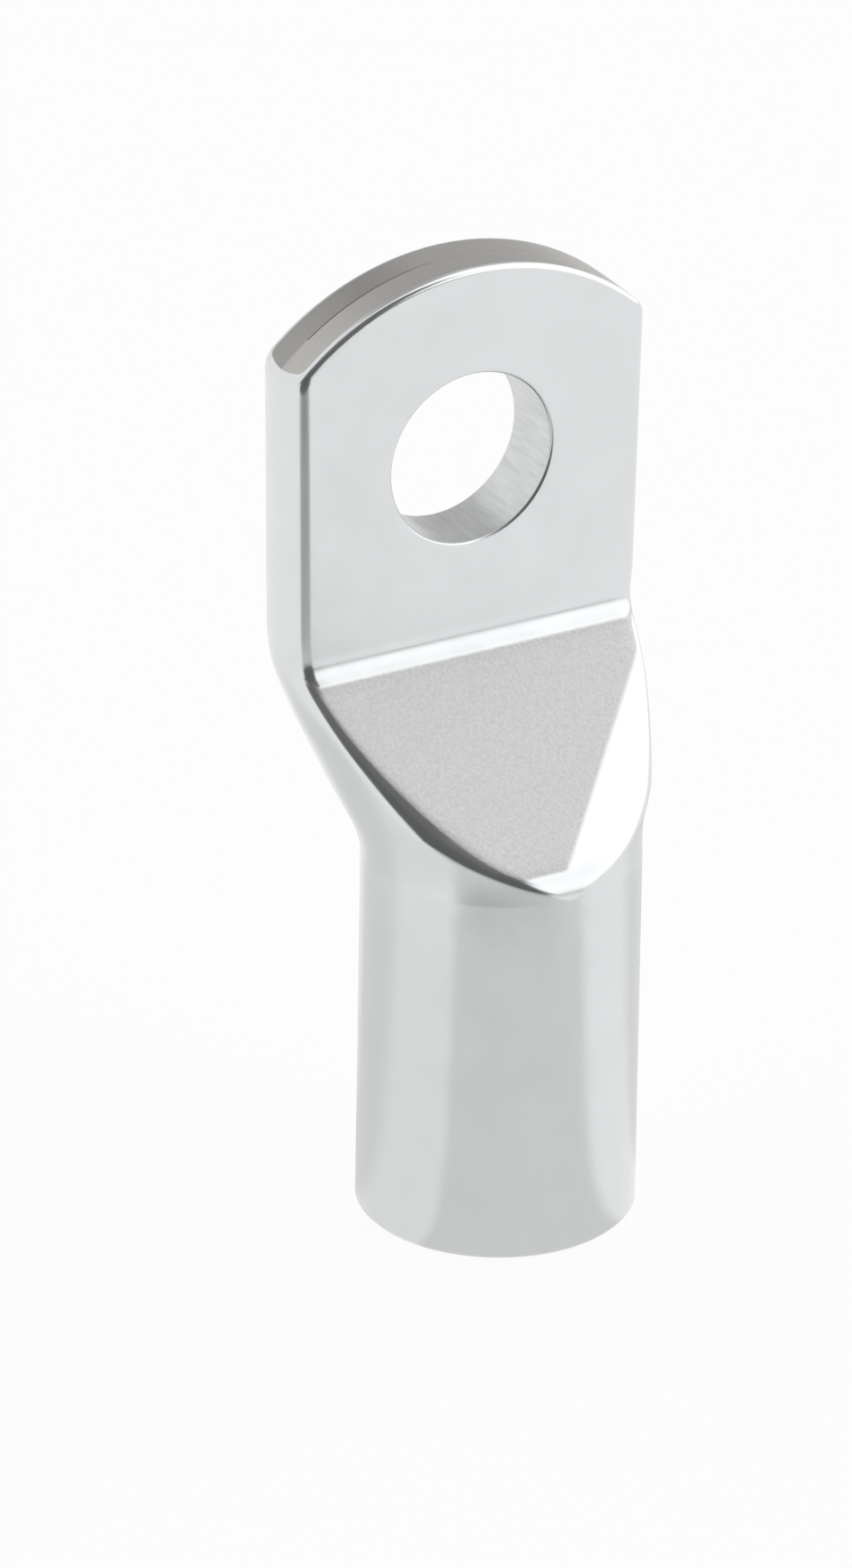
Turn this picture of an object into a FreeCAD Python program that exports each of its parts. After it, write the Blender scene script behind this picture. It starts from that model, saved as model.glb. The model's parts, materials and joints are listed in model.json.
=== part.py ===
import FreeCAD, Part
import math
import os
import Sketcher

# Tubular cable lug pressed from one length of tinned copper tube, sizes in millimetres.
# It stands on its barrel mouth, with the barrel along +Z and the palm's flat faces square to Y.

os.makedirs("parts", exist_ok=True)
doc = FreeCAD.newDocument("cable_lug")

# Driving dimensions
SIZES = [
    ("barrel_diameter", 13.0),
    ("wall_thickness", 1.75),
    ("barrel_length", 19.0),
    ("pressed_length", 8.2),
    ("hole_above_crease", 9.27),
    ("tip_above_hole", 9.48),
    ("stud_hole_diameter", 8.4),
    ("palm_width_crease", 18.26),
    ("palm_width_tip", 18.96),
    ("palm_back_step", 0.3),
    ("tip_side_drop", 4.15),
    ("press_edge_blend", 0.65),
    ("crease_blend", 0.6),
    ("side_corner_drop", 0.43),
    ("side_straight_above", 2.3),
    ("fold_reach", 0.85),
    ("corner_share", 0.45),
    ("back_flat_power", 0.33),
    ("seed_half_width", 0.1),
    ("closed_gap", 0.3),
    ("bore_flare", 0.25),
    ("mouth_outer_bevel", 0.3),
    ("mouth_inner_bevel", 0.4),
    ("hole_edge_bevel", 0.15),
    ("seam_width", 0.12),
    ("seam_depth", 0.2),
    ("trim_margin", 0.5),
]
sheet = doc.addObject("Spreadsheet::Sheet", "Sizes")
for row, (alias, size) in enumerate(SIZES, start=1):
    sheet.set("A" + str(row), alias)
    sheet.set("B" + str(row), str(size))
    sheet.setAlias("B" + str(row), alias)
doc.recompute()


def cell(alias):
    """Text that reads one driving dimension."""
    return "Sizes." + alias


def value(text):
    """Number that an expression of driving dimensions gives now."""
    return float(sheet.evalExpression(text))


# Derived lengths, each one an expression of the driving dimensions
OUTER_RADIUS = "(Sizes.barrel_diameter / 2)"
BORE_RADIUS = "(Sizes.barrel_diameter / 2 - Sizes.wall_thickness)"
PALM_THICKNESS = "(2 * Sizes.wall_thickness)"
PALM_BACK = f"({OUTER_RADIUS} + Sizes.palm_back_step)"
PALM_FRONT = f"({PALM_BACK} - {PALM_THICKNESS})"
PALM_MIDDLE = f"({PALM_BACK} - Sizes.wall_thickness)"
PRESS_LINE = "Sizes.barrel_length"
CREASE = "(Sizes.barrel_length + Sizes.pressed_length)"
HOLE_HEIGHT = f"({CREASE} + Sizes.hole_above_crease)"
TIP_HEIGHT = f"({HOLE_HEIGHT} + Sizes.tip_above_hole)"
LOFT_START = f"({PRESS_LINE} - Sizes.press_edge_blend)"
LOFT_END = f"({CREASE} + Sizes.side_straight_above)"
SIDE_CORNER = f"({CREASE} - Sizes.side_corner_drop)"
SIDE_BLEND = "(Sizes.side_corner_drop + Sizes.side_straight_above)"

# Slopes of the pressed face, the palm's sides and the flared sides
FACE_SLOPE = f"(({PALM_FRONT} + {OUTER_RADIUS}) / Sizes.pressed_length)"
PALM_SLOPE = f"((Sizes.palm_width_tip - Sizes.palm_width_crease) / 2 / ({TIP_HEIGHT} - {CREASE}))"
CORNER_HALF_WIDTH = f"(Sizes.palm_width_crease / 2 - {PALM_SLOPE} * Sizes.side_corner_drop)"
FLARE_SLOPE = f"(({CORNER_HALF_WIDTH} - {OUTER_RADIUS}) / ({SIDE_CORNER} - {PRESS_LINE}))"

# The pressed face inside the tube runs one wall behind the outer one
INNER_PRESS_LINE = (
    f"({PRESS_LINE} - Sizes.wall_thickness * (sqrt(1 + {FACE_SLOPE} ^ 2) - 1) / {FACE_SLOPE})"
)
INNER_END = (
    f"({INNER_PRESS_LINE} + (2 * {BORE_RADIUS} + Sizes.palm_back_step / 2 - Sizes.closed_gap)"
    f" / {FACE_SLOPE})"
)


def ramp(height, corner, blend):
    """Text of a rise of one for one above a corner, rounded over the blend on both sides of it."""
    rounded = f"min(max({height} - {corner} + {blend}; 0); 2 * {blend}) ^ 2 / (4 * {blend})"
    straight = f"max({height} - {corner} - {blend}; 0)"
    return f"({rounded} + {straight})"


def closing_at(height):
    """Text of the share of the way that the tube is pressed shut at a height."""
    rise = ramp(height, PRESS_LINE, cell("press_edge_blend"))
    stop = ramp(height, CREASE, cell("crease_blend"))
    return f"(({rise} - {stop}) / Sizes.pressed_length)"


def half_width_at(height, radius):
    """Text of half the width at a height, flaring from the tube to the palm."""
    rise = ramp(height, PRESS_LINE, cell("press_edge_blend"))
    stop = ramp(height, SIDE_CORNER, SIDE_BLEND)
    return f"({radius} + {FLARE_SLOPE} * {rise} - ({FLARE_SLOPE} - {PALM_SLOPE}) * {stop})"


def outer_section(height):
    """Texts of the outer skin's faces, flats, corner rounds and half width at a height."""
    closing = closing_at(height)
    half_width = half_width_at(height, OUTER_RADIUS)
    flat_limit = f"({half_width} - Sizes.fold_reach)"
    front_flat = f"({flat_limit} * sqrt({closing} * (2 - {closing})))"
    back_flat = f"({flat_limit} * {closing} ^ Sizes.back_flat_power)"
    return {
        "front": f"(-{OUTER_RADIUS} + ({PALM_FRONT} + {OUTER_RADIUS}) * {closing})",
        "back": f"({OUTER_RADIUS} + Sizes.palm_back_step * {closing})",
        "half_width": half_width,
        "front_flat": front_flat,
        "back_flat": back_flat,
        "front_round": f"(Sizes.corner_share * ({half_width} - {front_flat}))",
        "back_round": f"(Sizes.corner_share * ({half_width} - {back_flat}))",
    }


body = doc.addObject("PartDesign::Body", "lug")
body.Label = "lug"
PLANES = {item.Role: item for item in body.Origin.OriginFeatures}
START, END, CENTRE = range(1, 4)
HORIZONTAL_AXIS, VERTICAL_AXIS = range(-1, -3, -1)
ORIGIN = (HORIZONTAL_AXIS, START)
FULL_TURN = 360
HALF_TURN = FULL_TURN / 2
QUARTER_TURN = FULL_TURN / 4


def new_sketch(name, plane, offset=None):
    """Empty sketch on one of the body's planes, moved along its normal by an expression."""
    sketch = body.newObject("Sketcher::SketchObject", name)
    sketch.AttachmentSupport = [(PLANES[plane], "")]
    sketch.MapMode = "FlatFace"
    if offset is not None:
        sketch.AttachmentOffset = FreeCAD.Placement(
            FreeCAD.Vector(0, 0, value(offset)), FreeCAD.Rotation()
        )
        sketch.setExpression("AttachmentOffset.Base.z", offset)
    return sketch


def arc(sketch, x, y, radius, first, last):
    """Adds an arc about (x, y) between two angles in degrees and returns its index."""
    circle = Part.Circle(FreeCAD.Vector(x, y, 0), FreeCAD.Vector(0, 0, 1), radius)
    return sketch.addGeometry(Part.ArcOfCircle(circle, math.radians(first), math.radians(last)))


def line(sketch, x_from, y_from, x_to, y_to):
    """Adds a line and returns its index."""
    start = FreeCAD.Vector(x_from, y_from, 0)
    end = FreeCAD.Vector(x_to, y_to, 0)
    return sketch.addGeometry(Part.LineSegment(start, end))


def limit(sketch, kind, *picked, name, text):
    """Adds a dimension with a name and binds it to an expression."""
    index = sketch.addConstraint(Sketcher.Constraint(kind, *picked, value(text)))
    sketch.renameConstraint(index, name)
    sketch.setExpression("Constraints." + name, text)


def tie(sketch, kind, *picked):
    """Adds a geometric constraint."""
    sketch.addConstraint(Sketcher.Constraint(kind, *picked))


# Angles at the middle of the round section's front and back, in degrees, and which way its
# joints lie from them
FRONT_MIDDLE = -QUARTER_TURN
FOLD_JOINTS = (
    (FRONT_MIDDLE, 1),
    (QUARTER_TURN, -1),
    (QUARTER_TURN, 1),
    (FRONT_MIDDLE + FULL_TURN, -1),
)


def flank_circle(size):
    """Centre and radius of the arc that touches both corner rounds and reaches the half width."""
    front_centre = size["front"] + size["front_round"]
    back_centre = size["back"] - size["back_round"]
    front_room = size["half_width"] - size["front_round"] - size["front_flat"]
    back_room = size["half_width"] - size["back_round"] - size["back_flat"]
    front_sum = size["half_width"] - size["front_round"] + size["front_flat"]
    back_sum = size["half_width"] - size["back_round"] + size["back_flat"]
    square = 1 / front_room - 1 / back_room
    linear = 2 * (back_centre / back_room - front_centre / front_room)
    constant = front_centre**2 / front_room - back_centre**2 / back_room - front_sum + back_sum
    middle = (front_centre + back_centre) / 2
    slope = 2 * square * middle + linear
    offset = (square * middle + linear) * middle + constant
    root = math.copysign(math.sqrt(slope**2 - 4 * square * offset), slope)
    y = middle - 2 * offset / (slope + root)
    x = (front_sum - (y - front_centre) ** 2 / front_room) / 2
    return x, y, size["half_width"] - x


def fold_arcs(sketch, size, texts):
    """Adds the right fold, a corner round, the bulged flank and a corner round, and sizes it."""
    x, y, radius = flank_circle(size)
    low = math.degrees(math.atan2(size["front"] + size["front_round"] - y, size["front_flat"] - x))
    high = math.degrees(math.atan2(size["back"] - size["back_round"] - y, size["back_flat"] - x))
    front_middle = size["front"] + size["front_round"]
    back_middle = size["back"] - size["back_round"]
    front = arc(sketch, size["front_flat"], front_middle, size["front_round"], FRONT_MIDDLE, low)
    flank = arc(sketch, x, y, radius, low, high)
    back = arc(sketch, size["back_flat"], back_middle, size["back_round"], high, QUARTER_TURN)
    side = line(sketch, size["half_width"], front_middle, size["half_width"], back_middle)
    sketch.toggleConstruction(side)
    tie(sketch, "Tangent", front, END, flank, START)
    tie(sketch, "Tangent", flank, END, back, START)
    tie(sketch, "Vertical", side)
    tie(sketch, "Tangent", side, flank)
    tie(sketch, "Horizontal", side, START, front, CENTRE)
    tie(sketch, "Horizontal", side, END, back, CENTRE)
    limit(sketch, "DistanceY", *ORIGIN, front, START, name="front", text=texts["front"])
    limit(sketch, "DistanceY", *ORIGIN, back, END, name="back", text=texts["back"])
    limit(sketch, "DistanceX", *ORIGIN, front, START, name="front_flat", text=texts["front_flat"])
    limit(sketch, "DistanceX", *ORIGIN, back, END, name="back_flat", text=texts["back_flat"])
    limit(sketch, "DistanceX", *ORIGIN, side, START, name="half_width", text=texts["half_width"])
    limit(sketch, "Radius", front, name="front_round", text=texts["front_round"])
    limit(sketch, "Radius", back, name="back_round", text=texts["back_round"])
    return (front, flank, back), (x, y, radius, low, high)


def pressed_sketch(name, height):
    """Section of the pressed tube: two flats joined by a fold at each side."""
    texts = outer_section(height)
    size = {key: value(text) for key, text in texts.items()}
    front, front_flat, front_round = size["front"], size["front_flat"], size["front_round"]
    back, back_flat, back_round = size["back"], size["back_flat"], size["back_round"]
    sketch = new_sketch(name, "XY_Plane", height)
    front_line = line(sketch, -front_flat, front, front_flat, front)
    right, (x, y, radius, low, high) = fold_arcs(sketch, size, texts)
    back_line = line(sketch, back_flat, back, -back_flat, back)
    turn_back, turn_front = HALF_TURN - high, HALF_TURN - low
    front_middle = FRONT_MIDDLE + FULL_TURN
    left = [
        arc(sketch, -back_flat, back - back_round, back_round, QUARTER_TURN, turn_back),
        arc(sketch, -x, y, radius, turn_back, turn_front),
        arc(sketch, -front_flat, front + front_round, front_round, turn_front, front_middle),
    ]
    tie(sketch, "Tangent", front_line, END, right[0], START)
    tie(sketch, "Tangent", right[2], END, back_line, START)
    ring = [back_line, *left, front_line]
    for before, after in zip(ring, ring[1:]):
        tie(sketch, "Tangent", before, END, after, START)
    for index, mirrored in zip(right, reversed(left)):
        tie(sketch, "Equal", index, mirrored)
    tie(sketch, "Symmetric", front_line, START, front_line, END, VERTICAL_AXIS)
    tie(sketch, "Symmetric", back_line, START, back_line, END, VERTICAL_AXIS)
    return sketch


def side_trim_sketch(name, height):
    """Region outside the right fold, out past the plate on every side."""
    texts = outer_section(height)
    size = {key: value(text) for key, text in texts.items()}
    low_text = "(" + texts["front"] + " - Sizes.trim_margin)"
    high_text = "(" + texts["back"] + " + Sizes.trim_margin)"
    far_text = "(Sizes.palm_width_tip / 2 + 2 * Sizes.trim_margin)"
    low, high, far = map(value, (low_text, high_text, far_text))
    sketch = new_sketch(name, "XY_Plane", height)
    right, _ = fold_arcs(sketch, size, texts)
    rise = line(sketch, size["back_flat"], size["back"], size["back_flat"], high)
    lid = line(sketch, size["back_flat"], high, far, high)
    wall = line(sketch, far, high, far, low)
    floor = line(sketch, far, low, size["front_flat"], low)
    back_up = line(sketch, size["front_flat"], low, size["front_flat"], size["front"])
    ring = [right[2], rise, lid, wall, floor, back_up, right[0]]
    for before, after in zip(ring, ring[1:]):
        tie(sketch, "Coincident", before, END, after, START)
    for index in (rise, wall, back_up):
        tie(sketch, "Vertical", index)
    for index in (lid, floor):
        tie(sketch, "Horizontal", index)
    tie(sketch, "Vertical", right[0], START, right[0], CENTRE)
    tie(sketch, "Vertical", right[2], END, right[2], CENTRE)
    limit(sketch, "DistanceY", *ORIGIN, lid, END, name="top", text=high_text)
    limit(sketch, "DistanceY", *ORIGIN, floor, START, name="bottom", text=low_text)
    limit(sketch, "DistanceX", *ORIGIN, wall, START, name="far", text=far_text)
    return sketch


def plate_sketch(name, height):
    """Rectangle of the palm's full thickness, a little wider than the palm."""
    half_text = "(Sizes.palm_width_tip / 2 + Sizes.trim_margin)"
    front, back, half = map(value, (PALM_FRONT, PALM_BACK, half_text))
    sketch = new_sketch(name, "XY_Plane", height)
    front_line = line(sketch, -half, front, half, front)
    right = line(sketch, half, front, half, back)
    back_line = line(sketch, half, back, -half, back)
    left = line(sketch, -half, back, -half, front)
    ring = [front_line, right, back_line, left]
    for before, after in zip(ring, ring[1:] + ring[:1]):
        tie(sketch, "Coincident", before, END, after, START)
    for index in (right, left):
        tie(sketch, "Vertical", index)
    tie(sketch, "Horizontal", back_line)
    tie(sketch, "Symmetric", front_line, START, front_line, END, VERTICAL_AXIS)
    limit(sketch, "DistanceY", *ORIGIN, front_line, END, name="front", text=PALM_FRONT)
    limit(sketch, "DistanceY", *ORIGIN, back_line, START, name="back", text=PALM_BACK)
    limit(sketch, "DistanceX", *ORIGIN, front_line, END, name="half", text=half_text)
    return sketch


def round_sketch(name, height):
    """The tube's true circle, split where the pressed section that follows it has its joints."""
    radius = value(OUTER_RADIUS)
    seed = value(cell("seed_half_width"))
    splits = (1, 2)
    turns = [math.degrees(math.asin(seed * split / radius)) for split in splits]
    joints = [base + side * turn for base, side in FOLD_JOINTS for turn in turns[::side]]
    joints = [joints[-1] - FULL_TURN] + joints
    sketch = new_sketch(name, "XY_Plane", height)
    arcs = [arc(sketch, 0, 0, radius, first, last) for first, last in zip(joints, joints[1:])]
    for index in arcs:
        tie(sketch, "Coincident", index, CENTRE, *ORIGIN)
    for before, after in zip(arcs, arcs[1:]):
        tie(sketch, "Coincident", before, END, after, START)
    tie(sketch, "Vertical", arcs[-1], END, arcs[0], START)
    limit(sketch, "Radius", arcs[0], name="radius", text=OUTER_RADIUS)
    steps = splits + splits[::-1]
    for number, (right, left, split) in enumerate(zip(arcs, arcs[len(steps) :], steps), start=1):
        text = f"({split} * Sizes.seed_half_width)"
        limit(sketch, "DistanceX", *ORIGIN, right, END, name=f"right_{number}", text=text)
        limit(sketch, "DistanceX", left, END, *ORIGIN, name=f"left_{number}", text=text)
    return sketch


def circle_sketch(name, plane, radius_text, y_text=None, offset=None):
    """One full circle, on the origin or at a height above it."""
    sketch = new_sketch(name, plane, offset)
    centre = FreeCAD.Vector(0, value(y_text) if y_text else 0, 0)
    ring = sketch.addGeometry(Part.Circle(centre, FreeCAD.Vector(0, 0, 1), value(radius_text)))
    if y_text is None:
        tie(sketch, "Coincident", ring, CENTRE, *ORIGIN)
    else:
        tie(sketch, "PointOnObject", ring, CENTRE, VERTICAL_AXIS)
        limit(sketch, "DistanceY", *ORIGIN, ring, CENTRE, name="height", text=y_text)
    limit(sketch, "Radius", ring, name="radius", text=radius_text)
    return sketch


def between(low, high, share):
    """Text of the height a share of the way from low to high."""
    return f"({low} + {share} * ({high} - {low}))"


def loft(kind, name, profile, sections, ruled):
    """Loft from a profile through sections."""
    feature = body.newObject(kind, name)
    feature.Profile = profile
    feature.Sections = sections
    feature.Ruled = ruled
    doc.recompute()
    return feature


# Barrel, a plain tube up to where the press begins to bear
barrel_circle = circle_sketch("barrel_circle", "XY_Plane", OUTER_RADIUS)
barrel = body.newObject("PartDesign::Pad", "barrel")
barrel.Profile = barrel_circle
barrel.setExpression("Length", LOFT_START)
doc.recompute()

# Transition pressed from the round tube to the flat palm: the rounded edge of the press mark,
# the inclined pressed face, the crease and the run-out of the flared sides
BLEND_STEPS = ("1", "2")
FACE_STEPS = ("0.25", "0.5", "0.75", "1")
RUN_OUT_STEPS = ("0.5", "1")
face_start = f"({PRESS_LINE} + Sizes.press_edge_blend)"
face_end = f"({CREASE} - Sizes.crease_blend)"
crease_end = f"({CREASE} + Sizes.crease_blend)"
round_start = round_sketch("section_round", LOFT_START)
zones = [
    ("press_edge", [f"({LOFT_START} + {step} * Sizes.press_edge_blend)" for step in BLEND_STEPS]),
    ("pressed_face", [between(face_start, face_end, step) for step in FACE_STEPS]),
    ("crease", [f"({face_end} + {step} * Sizes.crease_blend)" for step in BLEND_STEPS]),
    ("side_run_out", [between(crease_end, LOFT_END, step) for step in RUN_OUT_STEPS]),
]
last_section = round_start
for zone_name, heights in zones:
    zone_sections = [
        pressed_sketch(zone_name + "_section_" + str(number), height)
        for number, height in enumerate(heights, start=1)
    ]
    loft("PartDesign::AdditiveLoft", zone_name, last_section, zone_sections, False)
    last_section = zone_sections[-1]

# Palm, two walls pressed flat together. A plate of their joint thickness has both sides cut to
# the fold's section, which spreads a little towards the tip.
palm_top = f"({TIP_HEIGHT} + Sizes.trim_margin)"
palm_plate = body.newObject("PartDesign::Pad", "palm_plate")
palm_plate.Profile = plate_sketch("plate_section", LOFT_END)
palm_plate.setExpression("Length", f"({palm_top} - {LOFT_END})")
doc.recompute()
trims = [side_trim_sketch("side_trim_low", LOFT_END), side_trim_sketch("side_trim_high", palm_top)]
palm_side = loft("PartDesign::SubtractiveLoft", "palm_right_side", trims[0], trims[1:], True)
palm_mirror = body.newObject("PartDesign::Mirrored", "palm_left_side")
palm_mirror.Originals = [palm_side]
palm_mirror.MirrorPlane = (PLANES["YZ_Plane"], [""])
body.Tip = palm_mirror
doc.recompute()

# Tip sheared to an arc
TIP_RADIUS = (
    "(((Sizes.palm_width_tip / 2) ^ 2 + Sizes.tip_side_drop ^ 2) / (2 * Sizes.tip_side_drop))"
)


def above_arc_sketch(name, radius_text, half_text, offset=None):
    """Region above an arc about the tip's centre, out to a half width on both sides."""
    centre_text = f"({TIP_HEIGHT} - {TIP_RADIUS})"
    top_text = f"({TIP_HEIGHT} + 2 * Sizes.trim_margin)"
    centre, radius, half, top = map(value, (centre_text, radius_text, half_text, top_text))
    angle = math.degrees(math.acos(half / radius))
    foot = centre + math.sqrt(radius**2 - half**2)
    sketch = new_sketch(name, "XZ_Plane", offset)
    bow = arc(sketch, 0, centre, radius, angle, HALF_TURN - angle)
    right = line(sketch, half, foot, half, top)
    lid = line(sketch, half, top, -half, top)
    left = line(sketch, -half, top, -half, foot)
    tie(sketch, "Coincident", bow, START, right, START)
    tie(sketch, "Coincident", right, END, lid, START)
    tie(sketch, "Coincident", lid, END, left, START)
    tie(sketch, "Coincident", left, END, bow, END)
    tie(sketch, "Vertical", right)
    tie(sketch, "Vertical", left)
    tie(sketch, "Horizontal", lid)
    tie(sketch, "PointOnObject", bow, CENTRE, VERTICAL_AXIS)
    limit(sketch, "DistanceY", *ORIGIN, bow, CENTRE, name="centre", text=centre_text)
    limit(sketch, "Radius", bow, name="radius", text=radius_text)
    limit(sketch, "DistanceX", *ORIGIN, right, START, name="right_half", text=half_text)
    limit(sketch, "DistanceX", left, START, *ORIGIN, name="left_half", text=half_text)
    limit(sketch, "DistanceY", *ORIGIN, lid, START, name="top", text=top_text)
    return sketch


def pocket(name, profile, width_text=None, depth_text=None, up_to=None):
    """Pocket that must remove something, through everything unless a limit is given.

    The limit is a width spread evenly over both sides, a depth above the profile or a plane.
    """
    before = body.Shape.Volume
    feature = body.newObject("PartDesign::Pocket", name)
    feature.Profile = profile
    if up_to is not None:
        feature.Type = "UpToFace"
        feature.UpToFace = (up_to, [""])
    elif depth_text is not None:
        feature.Type = "Length"
        feature.Reversed = True
        feature.setExpression("Length", depth_text)
    else:
        feature.SideType = "Symmetric"
        feature.Type = "ThroughAll" if width_text is None else "Length"
        if width_text is not None:
            feature.setExpression("Length", width_text)
    doc.recompute()
    if not body.Shape.Volume < before:
        raise RuntimeError(name + " removed nothing")
    return feature


tip_trim = above_arc_sketch(
    "tip_trim", TIP_RADIUS, "(Sizes.palm_width_tip / 2 + Sizes.trim_margin)"
)
pocket("sheared_tip", tip_trim)

# Stud hole punched through both walls of the palm
HOLE_RADIUS = "(Sizes.stud_hole_diameter / 2)"
hole_circle = circle_sketch("hole_circle", "XZ_Plane", HOLE_RADIUS, y_text=HOLE_HEIGHT)
pocket("stud_hole", hole_circle)

# Bore for the cable, up to where the tube begins to open out under the pressed wall
BORE_END = f"({INNER_PRESS_LINE} - Sizes.bore_flare / {FACE_SLOPE})"
bore_circle = circle_sketch("bore_circle", "XY_Plane", BORE_RADIUS)
pocket("bore", bore_circle, depth_text=BORE_END)

# Space behind the pressed wall: a round that opens out a little from the bore, and the flattened
# part that widens to the closed seam. Both end on the inner side of the pressed wall.
inner_face = body.newObject("PartDesign::Plane", "inner_face")
inner_face.AttachmentSupport = [(PLANES["XY_Plane"], "")]
inner_face.MapMode = "FlatFace"
lean_text = f"atan(1 / {FACE_SLOPE})"
inner_face.AttachmentOffset = FreeCAD.Placement(
    FreeCAD.Vector(0, -value(BORE_RADIUS), value(INNER_PRESS_LINE)),
    FreeCAD.Rotation(FreeCAD.Vector(1, 0, 0), math.degrees(math.atan(1 / value(FACE_SLOPE)))),
)
inner_face.setExpression("AttachmentOffset.Base.y", f"-1 * {BORE_RADIUS}")
inner_face.setExpression("AttachmentOffset.Base.z", INNER_PRESS_LINE)
inner_face.setExpression("AttachmentOffset.Rotation.Angle", lean_text)
doc.recompute()
flare_radius = f"({BORE_RADIUS} + Sizes.bore_flare)"
flare_middle = "(Sizes.palm_back_step - Sizes.bore_flare)"
flare_circle = circle_sketch("flare_circle", "XY_Plane", flare_radius, flare_middle, BORE_END)
pocket("closing_round", flare_circle, up_to=inner_face)


def closing_sketch(name, offset):
    """Outline of the flattened space, from a point at the press line out to the closed seam."""
    foot_text = cell("seed_half_width")
    half_text = f"({half_width_at(INNER_END, BORE_RADIUS)} - Sizes.closed_gap / 2)"
    foot, half, low, high = map(value, (foot_text, half_text, INNER_PRESS_LINE, INNER_END))
    sketch = new_sketch(name, "XZ_Plane", offset)
    floor = line(sketch, -foot, low, foot, low)
    right = line(sketch, foot, low, half, high)
    lid = line(sketch, half, high, -half, high)
    left = line(sketch, -half, high, -foot, low)
    ring = [floor, right, lid, left]
    for before, after in zip(ring, ring[1:] + ring[:1]):
        tie(sketch, "Coincident", before, END, after, START)
    tie(sketch, "Symmetric", floor, START, floor, END, VERTICAL_AXIS)
    tie(sketch, "Symmetric", lid, START, lid, END, VERTICAL_AXIS)
    limit(sketch, "DistanceY", *ORIGIN, floor, END, name="low", text=INNER_PRESS_LINE)
    limit(sketch, "DistanceY", *ORIGIN, lid, START, name="high", text=INNER_END)
    limit(sketch, "DistanceX", *ORIGIN, floor, END, name="foot", text=foot_text)
    limit(sketch, "DistanceX", *ORIGIN, lid, START, name="half", text=half_text)
    return sketch


inner_back = f"-1 * ({BORE_RADIUS} + Sizes.palm_back_step / 2)"
pocket("closing_flat", closing_sketch("closing_outline", inner_back), up_to=inner_face)

# Seam between the two pressed walls, seen on the sheared tip and in the wall of the stud hole
mid_plane = f"(-1 * {PALM_MIDDLE})"
seam_arc = above_arc_sketch(
    "seam_arc",
    f"({TIP_RADIUS} - Sizes.seam_depth)",
    "(Sizes.palm_width_tip / 2 - Sizes.wall_thickness)",
    mid_plane,
)
pocket("tip_seam", seam_arc, cell("seam_width"))
seam_radius = f"({HOLE_RADIUS} + Sizes.seam_depth)"
seam_circle = circle_sketch("seam_circle", "XZ_Plane", seam_radius, HOLE_HEIGHT, mid_plane)
pocket("hole_seam", seam_circle, cell("seam_width"))


def bevel(name, size_alias, picked):
    """Bevels the edges of the body so far that a test picks."""
    tip = body.Tip
    names = [
        "Edge" + str(number)
        for number, edge in enumerate(tip.Shape.Edges, start=1)
        if picked(edge)
    ]
    if not names:
        raise RuntimeError(name + " found no edge")
    feature = body.newObject("PartDesign::Chamfer", name)
    feature.Base = (tip, names)
    feature.setExpression("Size", cell(size_alias))
    doc.recompute()
    return feature


NEAR = 0.001


def along(edge):
    """Three points spread along an edge."""
    first, last = edge.FirstParameter, edge.LastParameter
    return [edge.valueAt(first + share * (last - first)) for share in (0.1, 0.5, 0.9)]


def on_hole(edge, place):
    """Whether an edge runs round the stud hole at this place along Y."""
    radius, height = value(HOLE_RADIUS), value(HOLE_HEIGHT)
    return all(
        abs(math.hypot(point.x, point.z - height) - radius) < NEAR and abs(point.y - place) < NEAR
        for point in along(edge)
    )


def on_mouth(edge, radius_text):
    """Whether an edge runs round the barrel's mouth at this radius."""
    radius = value(radius_text)
    return all(
        abs(math.hypot(point.x, point.y) - radius) < NEAR and abs(point.z) < NEAR
        for point in along(edge)
    )


for name, place_text in (("hole_front_edge", PALM_FRONT), ("hole_back_edge", PALM_BACK)):
    place = value(place_text)
    bevel(name, "hole_edge_bevel", lambda edge: on_hole(edge, place))
bevel("mouth_outer_edge", "mouth_outer_bevel", lambda edge: on_mouth(edge, OUTER_RADIUS))
bevel("mouth_inner_edge", "mouth_inner_bevel", lambda edge: on_mouth(edge, BORE_RADIUS))

# The finished part is checked before its file is written
for item in doc.Objects:
    if "Invalid" in item.State or "Error" in item.State:
        raise RuntimeError(item.Name + " did not compute")
if body.Shape.isNull() or not body.Shape.isValid() or len(body.Shape.Solids) != 1:
    raise RuntimeError("lug is not one valid solid")
body.Shape.exportStep("parts/lug.step")
box = body.Shape.BoundBox
print("lug", round(body.Shape.Volume, 1), "cubic mm", box)
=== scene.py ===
"""Tinned copper cable lug, dressed for the render: one pressed tube standing on its barrel mouth."""

import json
import logging
import math
from dataclasses import dataclass, field
from enum import Enum
from functools import cached_property
from typing import Callable, Sequence, Union

import bmesh
import bpy
from bmesh.types import BMEdge, BMesh, BMFace, BMVert
from mathutils import Matrix, Vector


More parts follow.
